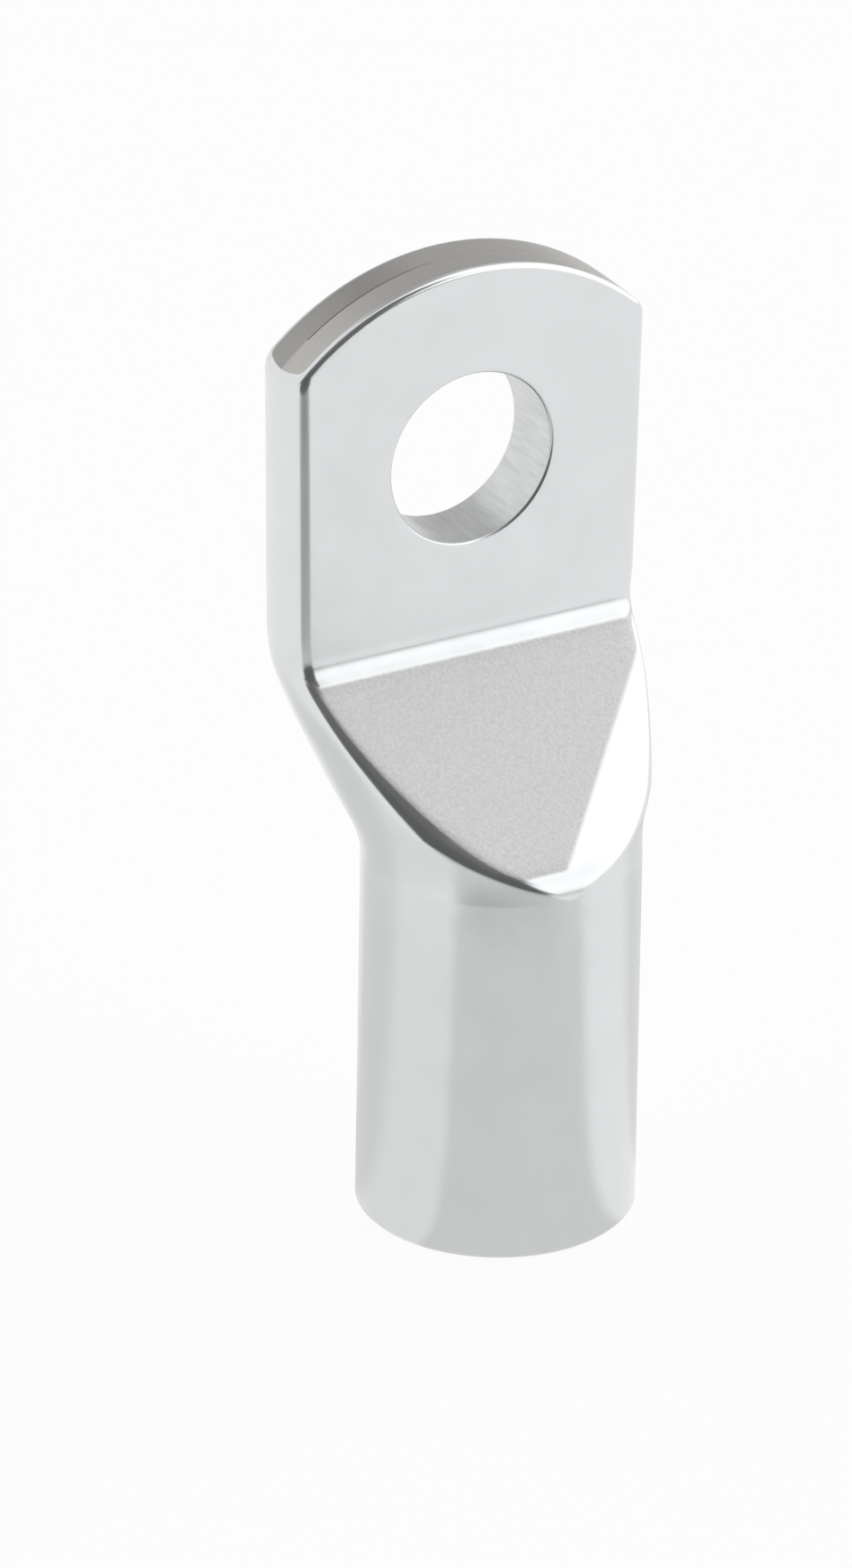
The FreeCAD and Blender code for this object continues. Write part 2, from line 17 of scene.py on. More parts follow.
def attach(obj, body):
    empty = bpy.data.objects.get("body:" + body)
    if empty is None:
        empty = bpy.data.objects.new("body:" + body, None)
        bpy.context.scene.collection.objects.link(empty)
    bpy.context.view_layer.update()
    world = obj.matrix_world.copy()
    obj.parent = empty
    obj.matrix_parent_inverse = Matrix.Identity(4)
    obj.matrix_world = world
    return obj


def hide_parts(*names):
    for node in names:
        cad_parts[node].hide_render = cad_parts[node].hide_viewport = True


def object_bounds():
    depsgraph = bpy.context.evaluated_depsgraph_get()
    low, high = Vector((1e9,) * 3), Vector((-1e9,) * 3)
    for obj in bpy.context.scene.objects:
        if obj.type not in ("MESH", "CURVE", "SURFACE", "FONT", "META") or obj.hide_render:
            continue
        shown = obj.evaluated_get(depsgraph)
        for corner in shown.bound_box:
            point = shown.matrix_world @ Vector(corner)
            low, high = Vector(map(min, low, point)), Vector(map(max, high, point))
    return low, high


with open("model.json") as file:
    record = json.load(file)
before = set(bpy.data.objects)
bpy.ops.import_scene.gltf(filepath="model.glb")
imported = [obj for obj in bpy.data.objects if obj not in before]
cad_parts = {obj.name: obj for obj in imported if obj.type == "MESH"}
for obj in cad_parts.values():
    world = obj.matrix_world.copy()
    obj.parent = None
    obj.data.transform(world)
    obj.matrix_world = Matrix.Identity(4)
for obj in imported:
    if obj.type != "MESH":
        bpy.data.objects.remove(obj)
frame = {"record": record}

LOG = logging.getLogger("lug")
MM = 0.001
CAD_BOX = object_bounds()
MOUNTS = {mount["name"]: mount for mount in frame["record"]["mounts"]}
WHITE = (1.0, 1.0, 1.0, 1.0)
Span = tuple[float, float]
Colour = tuple[float, float, float, float]
RingLaw = Callable[[int], Vector]
Tree = bpy.types.NodeTree
NodeOutputs = bpy.types.NodeOutputs
Socket = Union[bpy.types.NodeSocket, float, int, tuple, Vector]


class Finish(Enum):
    """Material slots of the lug, in the order in which the mesh holds them."""

    PLATED = 0
    SHEARED = 1
    PUNCHED = 2
    SEAM = 3


class Face(Enum):
    """The two flat faces of the palm, by the way each one looks along Y."""

    FRONT = -1
    BACK = 1


def place_mm(mount: str, axis: int) -> float:
    """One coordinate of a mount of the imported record.

    Args:
        mount: The mount's name.
        axis: 0, 1 or 2 for X, Y or Z.

    Returns:
        The coordinate in millimetres.
    """
    return MOUNTS[mount]["pos_m"][axis] / MM


def ramp(height: float, corner: float, blend: float) -> float:
    """Rise of one for one above a corner, rounded over the blend on both sides of it.

    Args:
        height: Height asked for.
        corner: Height of the sharp corner.
        blend: Half length of the rounding.

    Returns:
        The rise at that height.
    """
    rounded = min(max(height - corner + blend, 0.0), 2 * blend) ** 2 / (4 * blend)
    return rounded + max(height - corner - blend, 0.0)


def even_steps(low: float, high: float, rows: int) -> list[float]:
    """Values from one to another in even steps, the first one left out."""
    return [low + (high - low) * row / rows for row in range(1, rows + 1)]


@dataclass(frozen=True)
class Arc:
    """Arc in a section's plane, its angles counted from the front's direction round by the right."""

    x: float
    y: float
    radius: float
    first: float
    last: float

    def point(self, share: float, inset: float) -> Vector:
        """Place on the arc or inside it.

        Args:
            share: How far along the arc.
            inset: How far the place is drawn in towards the arc's centre.

        Returns:
            The place in the section's plane.
        """
        turn = self.first + share * (self.last - self.first)
        reach = self.radius - inset
        return Vector((self.x + reach * math.sin(turn), self.y - reach * math.cos(turn)))


@dataclass(frozen=True)
class Section:
    """One level section of the pressed tube: two flats joined by folds.

    Each fold is a corner round, a bulged flank and a corner round, and the three touch smoothly.
    """

    front: float
    back: float
    half_width: float
    front_flat: float
    back_flat: float
    corner_share: float

    @cached_property
    def arcs(self) -> tuple[Arc, Arc, Arc]:
        """Arcs of the right fold: front corner, flank and back corner.

        Returns:
            The three arcs from the front round to the back.
        """
        front_round = self.corner_share * (self.half_width - self.front_flat)
        back_round = self.corner_share * (self.half_width - self.back_flat)
        front_middle = self.front + front_round
        back_middle = self.back - back_round
        front_room = self.half_width - front_round - self.front_flat
        back_room = self.half_width - back_round - self.back_flat
        front_sum = self.half_width - front_round + self.front_flat
        back_sum = self.half_width - back_round + self.back_flat
        square = 1 / front_room - 1 / back_room
        slant = 2 * (back_middle / back_room - front_middle / front_room)
        fixed = front_middle**2 / front_room - back_middle**2 / back_room - front_sum + back_sum
        middle = (front_middle + back_middle) / 2
        slope = 2 * square * middle + slant
        offset = (square * middle + slant) * middle + fixed
        root = math.copysign(math.sqrt(max(slope**2 - 4 * square * offset, 0.0)), slope)
        y = middle - 2 * offset / (slope + root)
        x = (front_sum - (y - front_middle) ** 2 / front_room) / 2
        low = math.atan2(max(self.front_flat - x, 0.0), y - front_middle)
        high = math.atan2(max(self.back_flat - x, 0.0), y - back_middle)
        return (
            Arc(self.front_flat, front_middle, front_round, 0.0, low),
            Arc(x, y, self.half_width - x, low, high),
            Arc(self.back_flat, back_middle, back_round, high, math.pi),
        )

    def point(self, piece: int, share: float, inset: float = 0.0) -> Vector:
        """Place on the section's right half.

        Args:
            piece: 0 for the front flat, 1 to 3 for the fold's arcs, 4 for the back flat.
            share: How far along that piece, from the front round to the back.
            inset: How far the outline is drawn in from the skin.

        Returns:
            The place in the section's own plane.
        """
        if piece == 0:
            return Vector((self.front_flat * share, self.front + inset))
        if piece <= len(self.arcs):
            return self.arcs[piece - 1].point(share, inset)
        return Vector((self.back_flat * (1 - share), self.back - inset))


@dataclass
class PressedTube:
    """Sizes of the lug in millimetres and the laws that carry the tube's section up its length."""

    press_line: float = 19.0
    crease: float = 27.2
    palm_width_crease: float = 18.26
    palm_width_tip: float = 18.96
    tip_side_drop: float = 4.15
    press_edge_blend: float = 0.9
    crease_blend: float = 0.8
    side_corner_drop: float = 0.43
    side_straight_above: float = 2.3
    fold_reach: float = 0.85
    corner_share: float = 0.8
    first_corner_share: float = 0.5
    corner_grown: float = 0.25
    back_flat_power: float = 0.33
    closed_gap: float = 0.3
    bore_radius: float = MOUNTS["cable_barrel"]["dims"]["r_mm"]
    hole_radius: float = MOUNTS["stud_hole"]["dims"]["r_mm"]
    hole_height: float = place_mm("stud_hole", 2)
    palm_back: float = place_mm("palm_back", 1)
    palm_front: float = place_mm("palm_front", 1)
    tip_height: float = CAD_BOX[1].z / MM

    def __post_init__(self) -> None:
        """Works out the lengths that follow from the fields."""
        self.wall = (self.palm_back - self.palm_front) / 2
        self.palm_middle = self.palm_front + self.wall
        self.outer_radius = self.bore_radius + self.wall
        self.pressed_length = self.crease - self.press_line
        self.loft_start = self.press_line - self.press_edge_blend
        self.palm_start = self.crease + self.side_straight_above
        self.side_corner = self.crease - self.side_corner_drop
        self.side_blend = self.side_corner_drop + self.side_straight_above
        self.face_slope = (self.palm_front + self.outer_radius) / self.pressed_length
        widening = (self.palm_width_tip - self.palm_width_crease) / 2
        self.palm_slope = widening / (self.tip_height - self.crease)
        corner_half_width = self.palm_width_crease / 2 - self.palm_slope * self.side_corner_drop
        flare = corner_half_width - self.outer_radius
        self.flare_slope = flare / (self.side_corner - self.press_line)
        lean = math.sqrt(1 + self.face_slope**2) - 1
        self.inner_press_line = self.press_line - self.wall * lean / self.face_slope
        self.inner_start = self.inner_press_line - self.press_edge_blend
        closing = self.bore_radius + self.palm_back - self.wall - self.closed_gap
        self.inner_end = self.inner_press_line + closing / self.face_slope
        half = self.palm_width_tip / 2
        self.tip_radius = (half**2 + self.tip_side_drop**2) / (2 * self.tip_side_drop)

    def half_width(self, height: float, radius: float) -> float:
        """Half the width of one of the tube's skins.

        Args:
            height: Height asked for.
            radius: The skin's radius in the barrel.

        Returns:
            Half the width at that height.
        """
        rise = ramp(height, self.press_line, self.press_edge_blend)
        stop = ramp(height, self.side_corner, self.side_blend)
        return radius + self.flare_slope * rise - (self.flare_slope - self.palm_slope) * stop

    def outer(self, height: float) -> Section:
        """Section of the outer skin.

        Args:
            height: Height asked for.

        Returns:
            The section at that height.
        """
        stop = ramp(height, self.crease, self.crease_blend)
        rise = ramp(height, self.press_line, self.press_edge_blend)
        closing = min(max((rise - stop) / self.pressed_length, 0.0), 1.0)
        half_width = self.half_width(height, self.outer_radius)
        flat_limit = half_width - self.fold_reach
        growth = min(closing / self.corner_grown, 1.0)
        grown_share = self.corner_share - self.first_corner_share
        return Section(
            front=-self.outer_radius + (self.palm_front + self.outer_radius) * closing,
            back=self.outer_radius + (self.palm_back - self.outer_radius) * closing,
            half_width=half_width,
            front_flat=flat_limit * math.sqrt(closing * (2 - closing)),
            back_flat=flat_limit * closing**self.back_flat_power,
            corner_share=self.first_corner_share + grown_share * growth,
        )

    def inner(self, height: float) -> Section:
        """Section of the space that narrows to the seam behind the pressed face.

        Args:
            height: Height asked for.

        Returns:
            The section at that height.
        """
        rise = ramp(height, self.inner_press_line, self.press_edge_blend)
        front = -self.bore_radius + self.face_slope * rise
        full_rise = self.inner_end - self.inner_press_line
        opening = self.palm_back - self.wall - self.bore_radius
        back = self.bore_radius + opening * rise / full_rise
        half_width = self.half_width(height, self.bore_radius)
        flat = max(half_width - (back - front) / 2, 0.0)
        nearly_round = 0.9
        return Section(front, back, half_width, flat, flat, nearly_round)

    def tip_at(self, x: float) -> float:
        """Height of the arc-shaped tip at a distance from the middle."""
        return self.tip_height - self.tip_radius + math.sqrt(self.tip_radius**2 - x**2)


@dataclass(frozen=True)
class HoleLoop:
    """One loop on the way from the palm's flat into the stud hole."""

    share: float
    radius: float
    depth: float
    finish: Finish


@dataclass
class LugShell:
    """The whole lug as one closed shell, drawn ring by ring from inside the tube to the tip's seam."""

    tube: PressedTube
    flat_steps: int = 12
    corner_steps: int = 8
    flank_steps: int = 40
    palm_rows: int = 20
    palm_passes: int = 2
    tip_passes: int = 3
    rim_bevel: float = 0.3
    bore_bevel: float = 0.4
    tip_round: float = 0.32
    hole_round: float = 0.15
    seam_width: float = 0.05
    seam_depth: float = 0.05
    seam_open_to: float = 5.0
    seam_fade: float = 4.0
    hole_seam_depth: float = 0.001
    spread_shares: tuple[float, ...] = (0.04, 0.5, 0.93, 1.0)
    weld_distance: float = 0.0005
    sharp_degrees: float = 40.0
    mesh: BMesh = field(default_factory=bmesh.new)
    rings: list[list[BMVert]] = field(default_factory=list)
    palm_first: int = 0
    palm_last: int = 0

    @property
    def piece_steps(self) -> tuple[int, ...]:
        """Steps on the front flat's half, the fold's three arcs and the back flat's half."""
        return (self.flat_steps, self.corner_steps, self.flank_steps, self.corner_steps, self.flat_steps)

    @property
    def half_steps(self) -> int:
        """Steps round one half of a ring, from the front's middle to the back's."""
        return sum(self.piece_steps)

    def level_point(self, section: Section, index: int, inset: float = 0.0) -> Vector:
        """Place of one point of a ring in its section.

        Args:
            section: The section that the ring follows.
            index: Number of the point round the whole ring.
            inset: How far the ring is drawn in from the skin.

        Returns:
            The place in the section's plane.
        """
        left = index > self.half_steps
        step = 2 * self.half_steps - index if left else index
        piece = 0
        while step > self.piece_steps[piece]:
            step -= self.piece_steps[piece]
            piece += 1
        point = section.point(piece, step / self.piece_steps[piece], inset)
        return Vector((-point.x, point.y)) if left else point

    def add_ring(self, law: RingLaw, finish: Finish = Finish.PLATED) -> None:
        """Extrudes the last ring and moves the new one to its place.

        Args:
            law: Gives each point's place by its number.
            finish: Finish of the faces between the two rings.
        """
        last = self.rings[-1]
        edges = [self.mesh.edges.get(pair) for pair in zip(last, last[1:] + last[:1])]
        fresh = extrude_loop(self.mesh, edges, finish)
        ring = [fresh[vertex] for vertex in last]
        for index, vertex in enumerate(ring):
            vertex.co = law(index)
        self.rings.append(ring)

    def circle_law(self, radius: float, height: float, gathered: float = 0.0) -> RingLaw:
        """Law of a plain round ring.

        Args:
            radius: The ring's radius.
            height: The ring's height.
            gathered: 0 for points spread evenly, 1 for points placed as in the first section above.

        Returns:
            The law.
        """
        half = self.half_steps
        first = self.flat_steps + self.corner_steps

        def law(index: int) -> Vector:
            """Place of one point of the ring."""
            even = index / half
            step = min(index, 2 * half - index)
            on_flank = min(max(step - first, 0), self.flank_steps) / self.flank_steps
            drawn = on_flank if index <= half else 2 - on_flank
            turn = math.pi * (even + gathered * (drawn - even))
            return Vector((radius * math.sin(turn), -radius * math.cos(turn), height))

        return law

    def section_law(self, section: Section, height: float) -> RingLaw:
        """Law of a level ring that follows a section.

        Args:
            section: The section.
            height: The ring's height.

        Returns:
            The law.
        """

        def law(index: int) -> Vector:
            """Place of one point of the ring."""
            return self.level_point(section, index).to_3d() + Vector((0, 0, height))

        return law

    def palm_law(self, share: float) -> RingLaw:
        """Law of a ring of the palm.

        Args:
            share: How far the ring lies from the palm's start to the tip's rounded edge.

        Returns:
            The law.
        """
        tube = self.tube
        start = tube.palm_start

        def law(index: int) -> Vector:
            """Place of one point of the ring."""
            height = start
            for _ in range(self.palm_passes):
                point = self.level_point(tube.outer(height), index)
                height = start + share * (tube.tip_at(point.x) - self.tip_round - start)
            return Vector((point.x, point.y, height))

        return law

    def tip_law(self, inset: float, drop: float) -> RingLaw:
        """Law of a ring on the tip's rounded edge.

        Args:
            inset: How far the ring is drawn in from the skin.
            drop: How far it lies below the arc.

        Returns:
            The law.
        """
        tube = self.tube

        def law(index: int) -> Vector:
            """Place of one point of the ring."""
            height = tube.tip_height
            for _ in range(self.tip_passes):
                point = self.level_point(tube.outer(height), index, inset)
                height = tube.tip_at(point.x) - drop
            return Vector((point.x, point.y, height))

        return law

    def cut_law(self, share: float, sink: float) -> RingLaw:
        """Law of a ring on the sheared face.

        Args:
            share: 0 at the face's outer edge, 1 at the lip of the seam, more inside the seam.
            sink: How far below the arc the ring lies.

        Returns:
            The law.
        """
        tube = self.tube
        edge = self.tip_law(self.tip_round, 0.0)
        reach = tube.palm_width_tip / 2 - tube.wall
        half_gap = self.seam_width / 2

        def law(index: int) -> Vector:
            """Place of one point of the ring."""
            start = edge(index)
            off = start.y - tube.palm_middle
            lip = tube.palm_middle + min(max(off, -half_gap), half_gap)
            near = Vector((min(max(start.x, -reach), reach), lip, 0.0))
            if share > 1:
                near.y = tube.palm_middle
            place = start.lerp(near, min(share, 1.0))
            closed = min(max((place.x + self.seam_open_to) / self.seam_fade, 0.0), 1.0)
            return Vector((place.x, place.y, tube.tip_at(place.x) - sink * (1 - closed)))

        return law

    def draw_inside(self) -> None:
        """Starts at the closed end of the space behind the pressed face and comes down the bore."""
        tube = self.tube
        inner_rows, bore_rows = 12, 4
        whole = 2 * self.half_steps
        start = bmesh.ops.create_circle(self.mesh, cap_ends=True, segments=whole, radius=tube.bore_radius)
        first = start["verts"]
        law = self.section_law(tube.inner(tube.inner_end), tube.inner_end)
        for index, vertex in enumerate(first):
            vertex.co = law(index)
        self.rings.append(first)
        for height in even_steps(tube.inner_end, tube.inner_start, inner_rows):
            self.add_ring(self.section_law(tube.inner(height), height))
        for share in even_steps(0.0, 1.0, bore_rows):
            height = tube.inner_start * (1 - share / 2)
            self.add_ring(self.circle_law(tube.bore_radius, height, 1 - share))

    def draw_mouth(self) -> None:
        """Bevel inside the mouth, its square cut face and the bevelled outer rim."""
        tube = self.tube
        softening = 0.05
        bore, outer = tube.bore_radius, tube.outer_radius
        corners = (
            (bore, self.bore_bevel, Vector((0, 1)), Vector((1, -1))),
            (bore + self.bore_bevel, 0.0, Vector((-1, 1)), Vector((1, 0))),
            (outer - self.rim_bevel, 0.0, Vector((-1, 0)), Vector((1, 1))),
            (outer, self.rim_bevel, Vector((-1, -1)), Vector((0, 1))),
        )
        for radius, height, before, after in corners:
            place = Vector((radius, height))
            low = place + before.normalized() * softening
            high = place + after.normalized() * softening
            for share in (0.0, 0.5, 1.0):
                bent = low.lerp(place, share).lerp(place.lerp(high, share), share)
                self.add_ring(self.circle_law(bent.x, bent.y))

    def draw_outside(self) -> None:
        """Barrel, pressed transition and palm, up to just below the sheared tip."""
        tube = self.tube
        barrel_rows, gather_rows = 6, 8
        blend_rows, face_rows, run_out_rows = 14, 26, 10
        gather_start = tube.loft_start / 2
        barrel_start = 2 * self.rim_bevel
        for height in (barrel_start, *even_steps(barrel_start, gather_start, barrel_rows)):
            self.add_ring(self.circle_law(tube.outer_radius, height))
        for share in even_steps(0.0, 1.0, gather_rows):
            height = gather_start + (tube.loft_start - gather_start) * share
            self.add_ring(self.circle_law(tube.outer_radius, height, share))
        face_start = tube.press_line + tube.press_edge_blend
        face_end = tube.crease - tube.crease_blend
        crease_end = tube.crease + tube.crease_blend
        stops = (
            (tube.loft_start, face_start, blend_rows),
            (face_start, face_end, face_rows),
            (face_end, crease_end, blend_rows),
            (crease_end, tube.palm_start, run_out_rows),
        )
        for low, high, rows in stops:
            for height in even_steps(low, high, rows):
                self.add_ring(self.section_law(tube.outer(height), height))
        self.palm_first = len(self.rings) - 1
        for share in even_steps(0.0, 1.0, self.palm_rows):
            self.add_ring(self.palm_law(share))
        self.palm_last = len(self.rings) - 1

    def draw_tip(self) -> None:
        """Sheared tip: rounded edge, cut face and the fine seam between the two walls."""
        edge_steps, face_steps = 4, 4
        for turn in even_steps(0.0, math.pi / 2, edge_steps):
            inset = self.tip_round * (1 - math.cos(turn))
            self.add_ring(self.tip_law(inset, self.tip_round * (1 - math.sin(turn))))
        for share in even_steps(0.0, 1.0, face_steps):
            self.add_ring(self.cut_law(share, 0.0), Finish.SHEARED)
        self.add_ring(self.cut_law(1.0, self.seam_depth), Finish.SEAM)
        self.add_ring(self.cut_law(2.0, self.seam_depth), Finish.SEAM)

    def open_palm(self, face: Face) -> list[BMEdge]:
        """Takes the flat out of one side of the palm.

        Args:
            face: Which side.

        Returns:
            The edges round the opening.
        """
        middle = 0 if face is Face.FRONT else self.half_steps
        whole = 2 * self.half_steps
        steps = range(middle - self.flat_steps, middle + self.flat_steps + 1)
        columns = [step % whole for step in steps]
        rings = self.rings[self.palm_first : self.palm_last + 1]
        region = {ring[column] for ring in rings for column in columns}
        inside = {side for side in self.mesh.faces if region.issuperset(side.verts)}
        edges = {edge for side in inside for edge in side.edges}
        border = [edge for edge in edges if not inside.issuperset(edge.link_faces)]
        bmesh.ops.delete(self.mesh, geom=list(inside), context="FACES")
        return border

    def hole_loops(self) -> list[HoleLoop]:
        """Loops across the palm's flat, round the hole's edge and down its wall to the seam.

        Returns:
            The loops from the palm's edge inwards.
        """
        tube = self.tube
        rim = tube.hole_radius + self.hole_round
        lip = tube.wall - self.seam_width / 2
        edge_steps, wall_steps = 4, 2
        loops = [HoleLoop(share, rim, 0.0, Finish.PLATED) for share in self.spread_shares]
        for turn in even_steps(0.0, math.pi / 2, edge_steps):
            radius = rim - self.hole_round * math.sin(turn)
            depth = self.hole_round * (1 - math.cos(turn))
            loops.append(HoleLoop(1.0, radius, depth, Finish.PLATED))
        for depth in even_steps(self.hole_round, lip, wall_steps):
            loops.append(HoleLoop(1.0, tube.hole_radius, depth, Finish.PUNCHED))
        for depth in (lip, tube.wall):
            radius = tube.hole_radius + self.hole_seam_depth
            loops.append(HoleLoop(1.0, radius, depth, Finish.PUNCHED))
        return loops

    def punch_side(self, face: Face) -> None:
        """Draws one side of the palm in to the stud hole and down the hole's wall to the seam.

        Args:
            face: Which side.
        """
        tube = self.tube
        outer = tube.palm_front if face is Face.FRONT else tube.palm_back
        centre = Vector((0.0, outer, tube.hole_height))
        inward = Vector((0.0, -float(face.value), 0.0))
        edges = self.open_palm(face)
        starts = {vertex: vertex.co - centre for edge in edges for vertex in edge.verts}
        for loop in self.hole_loops():
            fresh = extrude_loop(self.mesh, edges, loop.finish)
            starts = {fresh[old]: start for old, start in starts.items()}
            for vertex, start in starts.items():
                flat = Vector((start.x, 0.0, start.z))
                round_place = flat.normalized() * loop.radius
                vertex.co = centre + flat.lerp(round_place, loop.share) + inward * loop.depth
            near = {edge for vertex in starts for edge in vertex.link_edges}
            edges = [edge for edge in near if starts.keys() >= set(edge.verts)]

    def build(self) -> bpy.types.Object:
        """Draws the shell and closes it.

        Returns:
            The lug as an object in metres.
        """
        self.draw_inside()
        self.draw_mouth()
        self.draw_outside()
        self.draw_tip()
        for face in Face:
            self.punch_side(face)
        mesh = self.mesh
        bmesh.ops.remove_doubles(mesh, verts=mesh.verts, dist=self.weld_distance)
        bmesh.ops.recalc_face_normals(mesh, faces=mesh.faces)
        bmesh.ops.scale(mesh, vec=Vector((MM, MM, MM)), verts=mesh.verts)
        data = bpy.data.meshes.new("lug_shell")
        mesh.to_mesh(data)
        mesh.free()
        data.shade_smooth()
        data.set_sharp_from_angle(angle=math.radians(self.sharp_degrees))
        piece = bpy.data.objects.new("lug_shell", data)
        bpy.context.scene.collection.objects.link(piece)
        weighting = piece.modifiers.new("face_weight", "WEIGHTED_NORMAL")
        weighting.keep_sharp = True
        return piece


def extrude_loop(mesh: BMesh, edges: list[BMEdge], finish: Finish) -> dict[BMVert, BMVert]:
    """Extrudes a closed loop of edges without moving it.

    Args:
        mesh: The mesh being built.
        edges: The loop's edges.
        finish: Finish of the new faces.

    Returns:
        The new vertex for each old one.
    """
    old = {vertex for edge in edges for vertex in edge.verts}
    made = bmesh.ops.extrude_edge_only(mesh, edges=edges)["geom"]
    pairs = {}
    for item in made:
        if isinstance(item, BMFace):
            item.material_index = finish.value
        elif isinstance(item, BMVert):
            for edge in item.link_edges:
                other = edge.other_vert(item)
                if other in old:
                    pairs[other] = item
    return pairs


def linear(code: str) -> Colour:
    """Turns an sRGB hex colour to linear light.

    Args:
        code: The colour, such as "#C8C8C8".

    Returns:
        Red, green, blue and an alpha of one.
    """
    dark_end, dark_slope, lift, power = 0.04045, 12.92, 0.055, 2.4
    full = 255
    parts = [part / full for part in bytes.fromhex(code.lstrip("#"))]
    red, green, blue = (
        part / dark_slope if part <= dark_end else ((part + lift) / (1 + lift)) ** power
        for part in parts
    )
    return red, green, blue, 1.0


def grey(level: float) -> Colour:
    """Even grey of a linear level with an alpha of one."""
    return level, level, level, 1.0


def add(tree: Tree, kind: str, sockets: dict, **settings: object) -> bpy.types.Node:
    """Adds a node with its settings, values and links.

    Args:
        tree: The node tree.
        kind: The node's type name after ShaderNode.
        sockets: Input name or number to a value or to an output to link.
        settings: The node's own properties.

    Returns:
        The node.
    """
    node = tree.nodes.new("ShaderNode" + kind)
    for name, setting in settings.items():
        setattr(node, name, setting)
    for key, given in sockets.items():
        if isinstance(given, bpy.types.NodeSocket):
            tree.links.new(given, node.inputs[key])
        else:
            node.inputs[key].default_value = given
    return node


def new_tree(owner: bpy.types.Material | bpy.types.World) -> Tree:
    """Clears the nodes of a material or of the world.

    Args:
        owner: The material or the world.

    Returns:
        Its empty node tree.
    """
    owner.use_nodes = True
    owner.node_tree.nodes.clear()
    return owner.node_tree


def calculate(tree: Tree, operation: str, *values: Socket) -> Socket:
    """Result of one sum of values."""
    return add(tree, "Math", dict(enumerate(values)), operation=operation).outputs[0]


def with_vectors(tree: Tree, operation: str, *vectors: Socket) -> NodeOutputs:
    """Outputs of one sum of vectors."""
    return add(tree, "VectorMath", dict(enumerate(vectors)), operation=operation).outputs


def spread(
    tree: Tree,
    value: Socket,
    limits: Span,
    results: tuple[Socket, Socket] = (0.0, 1.0),
    kind: str = "SMOOTHSTEP",
) -> Socket:
    """Carries a value over from one range to another and holds it at the ends.

    Args:
        tree: The node tree.
        value: The value.
        limits: Where its range begins and ends.
        results: What comes out at those two ends.
        kind: SMOOTHSTEP for soft ends or LINEAR for an even change.

    Returns:
        The result's socket.
    """
    sockets = dict(enumerate((value, *limits, *results)))
    return add(tree, "MapRange", sockets, interpolation_type=kind).outputs[0]


def mix_values(tree: Tree, share: Socket, first: Socket, second: Socket) -> Socket:
    """Value a share of the way from the first to the second."""
    return add(tree, "Mix", {0: share, 2: first, 3: second}, data_type="FLOAT").outputs[0]


def mix_colours(
    tree: Tree, share: Socket, first: Socket, second: Socket, kind: str = "MIX"
) -> Socket:
    """Colour a share of the way from the first to the second, or to the two multiplied.

    Args:
        tree: The node tree.
        share: 0 for the first colour alone.
        first: The first colour.
        second: The second colour.
        kind: MIX or MULTIPLY.

    Returns:
        The colour's socket.
    """
    sockets = {0: share, 6: first, 7: second}
    return add(tree, "Mix", sockets, data_type="RGBA", blend_type=kind).outputs[2]


@dataclass(frozen=True)
class Pattern:
    """Uneven pattern: the size of its spots, its finer layers and how strong those are."""

    size: float
    detail: float
    roughness: float = 0.5

    def lay(self, tree: Tree, place: Socket) -> Socket:
        """Adds the pattern to a material.

        Args:
            tree: The material's node tree.
            place: Where in the pattern, in the unit of its size.

        Returns:
            The pattern's socket.
        """
        layers = {"Detail": self.detail, "Roughness": self.roughness}
        sockets = {"Vector": place, "Scale": 1 / self.size} | layers
        return add(tree, "TexNoise", sockets).outputs["Fac"]


def relief(tree: Tree, height: Socket, depth_mm: float, under: Socket | None = None) -> Socket:
    """Shallow relief that only turns the light.

    Args:
        tree: The node tree.
        height: Pattern of the relief.
        depth_mm: How deep the pattern's whole range is.
        under: Another relief that this one lies on.

    Returns:
        The normal's socket.
    """
    sockets = {"Height": height, "Distance": depth_mm * MM, "Strength": 1.0}
    if under is not None:
        sockets["Normal"] = under
    return add(tree, "Bump", sockets).outputs[0]


def finish_metal(
    tree: Tree, colour: Socket, roughness: Socket, normal: Socket | None = None
) -> None:
    """Ends a material's tree with bare metal.

    Args:
        tree: The node tree.
        colour: The metal's colour.
        roughness: Its roughness.
        normal: Its relief, where it has one.
    """
    sockets = {"Base Color": colour, "Metallic": 1.0, "Roughness": roughness}
    if normal is not None:
        sockets["Normal"] = normal
    shader = add(tree, "BsdfPrincipled", sockets)
    add(tree, "OutputMaterial", {"Surface": shader.outputs[0]})


